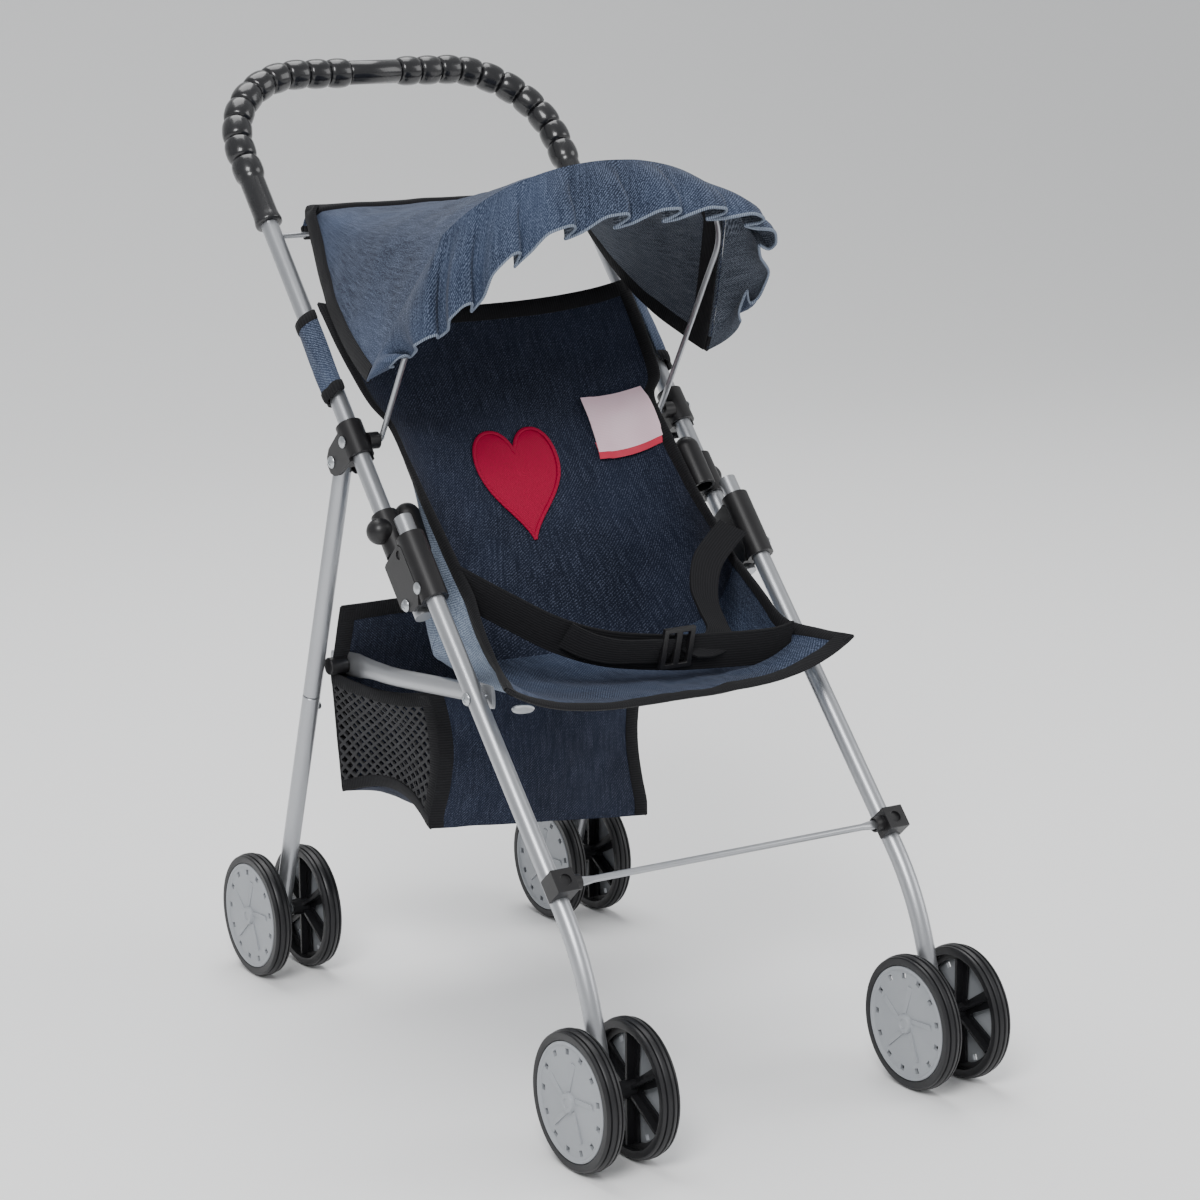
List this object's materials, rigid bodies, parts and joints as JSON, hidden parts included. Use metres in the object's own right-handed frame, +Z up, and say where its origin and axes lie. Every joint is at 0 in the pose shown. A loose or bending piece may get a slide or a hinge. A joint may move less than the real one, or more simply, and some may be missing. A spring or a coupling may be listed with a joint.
{
  "type": "doll stroller",
  "caption": "Folding toy stroller for a doll: bent tube frame, curved push handle, sling seat, arched canopy, under-seat basket and twin wheels.",
  "frame": {"origin": "centre of the footprint on the floor, at the bottom of the wheels", "axes": "+Z up, +X to the stroller's right-hand side of the front view, -Y forward, so the handle is at +Y"},
  "size_m": [0.2822, 0.5052, 0.5819],
  "materials": {
    "silver": "satin silver powder coat",
    "zinc": "zinc-plated",
    "black": "moulded, lightly glossy",
    "grip": "glossy moulded bead grip",
    "tyre": "hard plastic, satin",
    "grey": "satin moulded",
    "denim": "dark blue denim with black binding",
    "denim_light": "washed blue denim with black binding",
    "webbing": "woven black webbing",
    "crimson": "satin-stitched twill"
  },
  "bodies": {
    "front_frame": {"front_leg_l": "silver", "front_leg_r": "silver", "mid_bracket_l": "black", "mid_bracket_r": "black", "crossbar_fitting_l": "black", "crossbar_fitting_r": "black", "fold_rivet_l": "zinc", "fold_rivet_r": "zinc", "bar_rivet_l": "zinc", "bar_rivet_r": "zinc", "crossbar": "silver", "seat_back": "denim", "seat_base": "denim", "heart_patch": "crimson", "basket": "denim", "harness": "webbing", "buckle": "black", "axle_front_left": "zinc", "axle_front_right": "zinc"},
    "handle_frame": {"handle_tube": "silver", "grip_left": "grip", "grip_right": "grip", "grip_centre_sleeve": "grip", "canopy_rear_wire": "silver", "canopy_hood": "denim_light", "upper_bracket_l": "black", "upper_bracket_r": "black", "leg_pivot_rivet_l": "zinc", "leg_pivot_rivet_r": "zinc"},
    "canopy_bow": {"canopy_bow": "silver"},
    "rear_leg_left": {"rear_leg_upper_l": "silver", "rear_leg_lower_l": "silver", "axle_rear_left": "zinc"},
    "seat_bar_left": {"seat_bar_l": "silver", "seat_bar_spacer_l": "black"},
    "collar_left": {"lock_collar_l": "black"},
    "snap_button_left": {"snap_button_l": "zinc"},
    "rear_leg_right": {"rear_leg_upper_r": "silver", "rear_leg_lower_r": "silver", "axle_rear_right": "zinc"},
    "seat_bar_right": {"seat_bar_r": "silver", "seat_bar_spacer_r": "black"},
    "collar_right": {"lock_collar_r": "black"},
    "snap_button_right": {"snap_button_r": "zinc"},
    "wheel_front_left_outer": {"wheel_front_left_outer": "tyre", "wheel_cap_front_left_outer": "grey"},
    "wheel_front_left_inner": {"wheel_front_left_inner": "tyre", "wheel_cap_front_left_inner": "grey"},
    "wheel_front_right_outer": {"wheel_front_right_outer": "tyre", "wheel_cap_front_right_outer": "grey"},
    "wheel_front_right_inner": {"wheel_front_right_inner": "tyre", "wheel_cap_front_right_inner": "grey"},
    "wheel_rear_left_outer": {"wheel_rear_left_outer": "tyre", "wheel_cap_rear_left_outer": "grey"},
    "wheel_rear_left_inner": {"wheel_rear_left_inner": "tyre", "wheel_cap_rear_left_inner": "grey"},
    "wheel_rear_right_outer": {"wheel_rear_right_outer": "tyre", "wheel_cap_rear_right_outer": "grey"},
    "wheel_rear_right_inner": {"wheel_rear_right_inner": "tyre", "wheel_cap_rear_right_inner": "grey"}
  },
  "joints": [
    {"name": "handle_fold", "type": "hinge", "parent": "front_frame", "child": "handle_frame", "pos_m": [0, -0.01277, 0.27899], "axis": [-1, 0, 0], "range_deg": [0, 100], "deforming": ["seat_back", "seat_base", "heart_patch", "harness", "basket", "canopy_hood"]},
    {"name": "canopy_bow_fold", "type": "hinge", "parent": "handle_frame", "child": "canopy_bow", "pos_m": [0, 0.0579, 0.3652], "axis": [-1, 0, 0], "range_deg": [0, 65], "deforming": ["canopy_hood", "seat_back"]},
    {"name": "rear_leg_fold_left", "type": "hinge", "parent": "handle_frame", "child": "rear_leg_left", "pos_m": [-0.1152, 0.077, 0.351], "axis": [-1, 0, 0], "range_deg": [-60, 0]},
    {"name": "seat_bar_fold_left", "type": "hinge", "parent": "front_frame", "child": "seat_bar_left", "pos_m": [-0.1074, -0.076, 0.2354], "axis": [-1, 0, 0], "range_deg": [0, 68]},
    {"name": "rear_leg_fold_right", "type": "hinge", "parent": "handle_frame", "child": "rear_leg_right", "pos_m": [0.1152, 0.077, 0.351], "axis": [-1, 0, 0], "range_deg": [-60, 0]},
    {"name": "seat_bar_fold_right", "type": "hinge", "parent": "front_frame", "child": "seat_bar_right", "pos_m": [0.1074, -0.076, 0.2354], "axis": [-1, 0, 0], "range_deg": [0, 68]},
    {"name": "collar_slide_left", "type": "slide", "parent": "handle_frame", "child": "collar_left", "axis": [0, 0.6572, 0.7537], "range_m": [-0.0015, 0.031]},
    {"name": "collar_slide_right", "type": "slide", "parent": "handle_frame", "child": "collar_right", "axis": [0, 0.6572, 0.7537], "range_m": [-0.012, 0.017]},
    {"name": "snap_button_press_left", "type": "slide", "parent": "rear_leg_left", "child": "snap_button_left", "axis": [-1, 0, 0], "range_m": [0, 0.0021], "stiffness_N_per_m": 400},
    {"name": "snap_button_press_right", "type": "slide", "parent": "rear_leg_right", "child": "snap_button_right", "axis": [1, 0, 0], "range_m": [0, 0.0021], "stiffness_N_per_m": 400},
    {"name": "wheel_front_left_outer_spin", "type": "hinge", "parent": "front_frame", "child": "wheel_front_left_outer", "pos_m": [-0.1152, -0.2126, 0.04], "axis": [1, 0, 0], "continuous": true},
    {"name": "wheel_front_left_inner_spin", "type": "hinge", "parent": "front_frame", "child": "wheel_front_left_inner", "pos_m": [-0.1152, -0.2126, 0.04], "axis": [1, 0, 0], "continuous": true},
    {"name": "wheel_front_right_outer_spin", "type": "hinge", "parent": "front_frame", "child": "wheel_front_right_outer", "pos_m": [0.1152, -0.2126, 0.04], "axis": [1, 0, 0], "continuous": true},
    {"name": "wheel_front_right_inner_spin", "type": "hinge", "parent": "front_frame", "child": "wheel_front_right_inner", "pos_m": [0.1152, -0.2126, 0.04], "axis": [1, 0, 0], "continuous": true},
    {"name": "wheel_rear_left_outer_spin", "type": "hinge", "parent": "rear_leg_left", "child": "wheel_rear_left_outer", "pos_m": [-0.1112, 0.1845, 0.04], "axis": [1, 0, 0], "continuous": true},
    {"name": "wheel_rear_left_inner_spin", "type": "hinge", "parent": "rear_leg_left", "child": "wheel_rear_left_inner", "pos_m": [-0.1112, 0.1845, 0.04], "axis": [1, 0, 0], "continuous": true},
    {"name": "wheel_rear_right_outer_spin", "type": "hinge", "parent": "rear_leg_right", "child": "wheel_rear_right_outer", "pos_m": [0.1112, 0.1845, 0.04], "axis": [1, 0, 0], "continuous": true},
    {"name": "wheel_rear_right_inner_spin", "type": "hinge", "parent": "rear_leg_right", "child": "wheel_rear_right_inner", "pos_m": [0.1112, 0.1845, 0.04], "axis": [1, 0, 0], "continuous": true}
  ],
  "couplings": [
    {"joint": "rear_leg_fold_left", "follows": "handle_fold", "ratio": -0.582},
    {"joint": "seat_bar_fold_left", "follows": "handle_fold", "ratio": 0.665},
    {"joint": "rear_leg_fold_right", "follows": "handle_fold", "ratio": -0.582},
    {"joint": "seat_bar_fold_right", "follows": "handle_fold", "ratio": 0.665}
  ]
}
